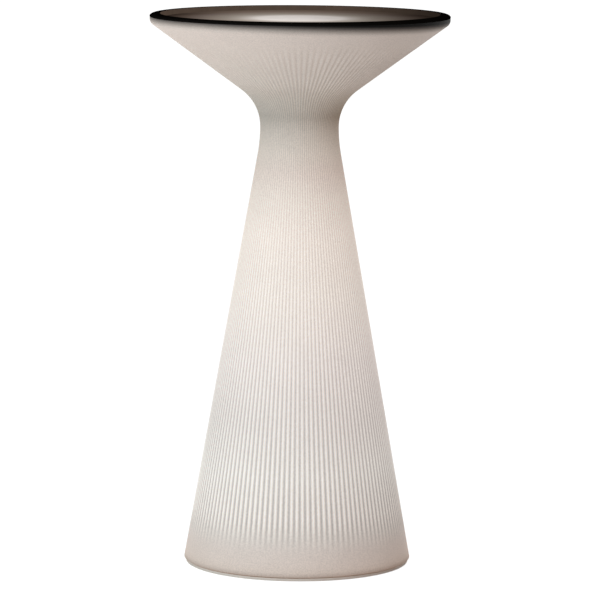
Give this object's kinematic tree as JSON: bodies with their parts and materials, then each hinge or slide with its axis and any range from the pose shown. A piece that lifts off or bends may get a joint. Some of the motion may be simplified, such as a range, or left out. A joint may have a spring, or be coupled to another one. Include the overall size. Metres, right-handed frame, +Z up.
{
  "type": "light-up led table",
  "caption": "High bar table with a ribbed hourglass body that glows from inside, a black rim, a recessed smoked top and a twist-out battery light unit in its foot.",
  "frame": {"origin": "on the floor, under the middle of the foot", "axes": "+Z up; the table is round about Z, and +X points to the charging cap's side of the light unit, -Y to the viewer"},
  "size_m": [0.596, 0.596, 1.1],
  "materials": {
    "body": "translucent, softly ribbed, lit from inside",
    "rim": "black, smooth",
    "top": "smoked and translucent",
    "seal": "black, matt",
    "base": "warm off-white",
    "stainless": "plain",
    "zinc": "zinc-plated",
    "pad": "grey, matt",
    "casing": "white, fine texture",
    "dome": "frosted",
    "board": "green laminate",
    "light_board": "white laminate",
    "spreader": "plain sheet",
    "cell": "shrink wrap",
    "tray": "grey",
    "button": "grey",
    "component": "black",
    "light_pipe": "clear",
    "led": "warm phosphor",
    "lead": "red sheath"
  },
  "bodies": {
    "table": {"base_plate": "base", "base_screw_1": "stainless", "base_screw_2": "stainless", "base_screw_3": "stainless", "base_screw_4": "stainless", "base_screw_5": "stainless", "base_screw_6": "stainless", "body_shell": "body", "disc_gasket": "seal", "foot_gasket": "seal", "glide_nut_1": "zinc", "glide_nut_2": "zinc", "glide_nut_3": "zinc", "glide_nut_4": "zinc", "rim_screw_1": "stainless", "rim_screw_2": "stainless", "rim_screw_3": "stainless", "rim_screw_4": "stainless", "rim_screw_5": "stainless", "rim_screw_6": "stainless", "top_disc": "top", "top_rim": "rim"},
    "light_unit": {"battery_cell_1": "cell", "battery_cell_2": "cell", "battery_cell_3": "cell", "battery_tray": "tray", "button_spring": "stainless", "button_switch": "component", "cap_pin": "stainless", "charge_indicator": "light_pipe", "charge_socket": "component", "dome_seal": "seal", "driver_board": "board", "heat_spreader": "spreader", "led_1": "led", "led_2": "led", "led_3": "led", "led_4": "led", "led_5": "led", "led_6": "led", "led_board": "light_board", "led_lead": "lead", "unit_dome": "dome", "unit_housing": "casing", "unit_screw_1": "zinc", "unit_screw_2": "zinc", "unit_screw_3": "zinc", "unit_screw_4": "zinc", "unit_seal": "seal"},
    "power_button": {"power_button": "button"},
    "charge_cap": {"charge_cap": "seal"},
    "glide_1": {"glide_pad_1": "pad", "glide_stud_1": "zinc"},
    "glide_2": {"glide_pad_2": "pad", "glide_stud_2": "zinc"},
    "glide_3": {"glide_pad_3": "pad", "glide_stud_3": "zinc"},
    "glide_4": {"glide_pad_4": "pad", "glide_stud_4": "zinc"}
  },
  "joints": [
    {"name": "unit_twist", "type": "hinge", "parent": "table", "child": "light_unit", "pos_m": [0, 0, 0.0073], "axis": [0, 0, 1], "range_deg": [0, 45]},
    {"name": "button_press", "type": "slide", "parent": "light_unit", "child": "power_button", "axis": [0, 0, 1], "range_m": [0, 0.0006], "stiffness_N_per_m": 400, "springref_m": -0.0006, "deforming": ["button_spring"]},
    {"name": "cap_swing", "type": "hinge", "parent": "light_unit", "child": "charge_cap", "pos_m": [0.0321, 0, 0.0156], "axis": [0, -1, 0], "range_deg": [0, 110]},
    {"name": "glide_level_1", "type": "slide", "parent": "table", "child": "glide_1", "axis": [0, 0, 1], "range_m": [-0.008, 0]},
    {"name": "glide_level_2", "type": "slide", "parent": "table", "child": "glide_2", "axis": [0, 0, 1], "range_m": [-0.008, 0]},
    {"name": "glide_level_3", "type": "slide", "parent": "table", "child": "glide_3", "axis": [0, 0, 1], "range_m": [-0.008, 0]},
    {"name": "glide_level_4", "type": "slide", "parent": "table", "child": "glide_4", "axis": [0, 0, 1], "range_m": [-0.008, 0]}
  ]
}
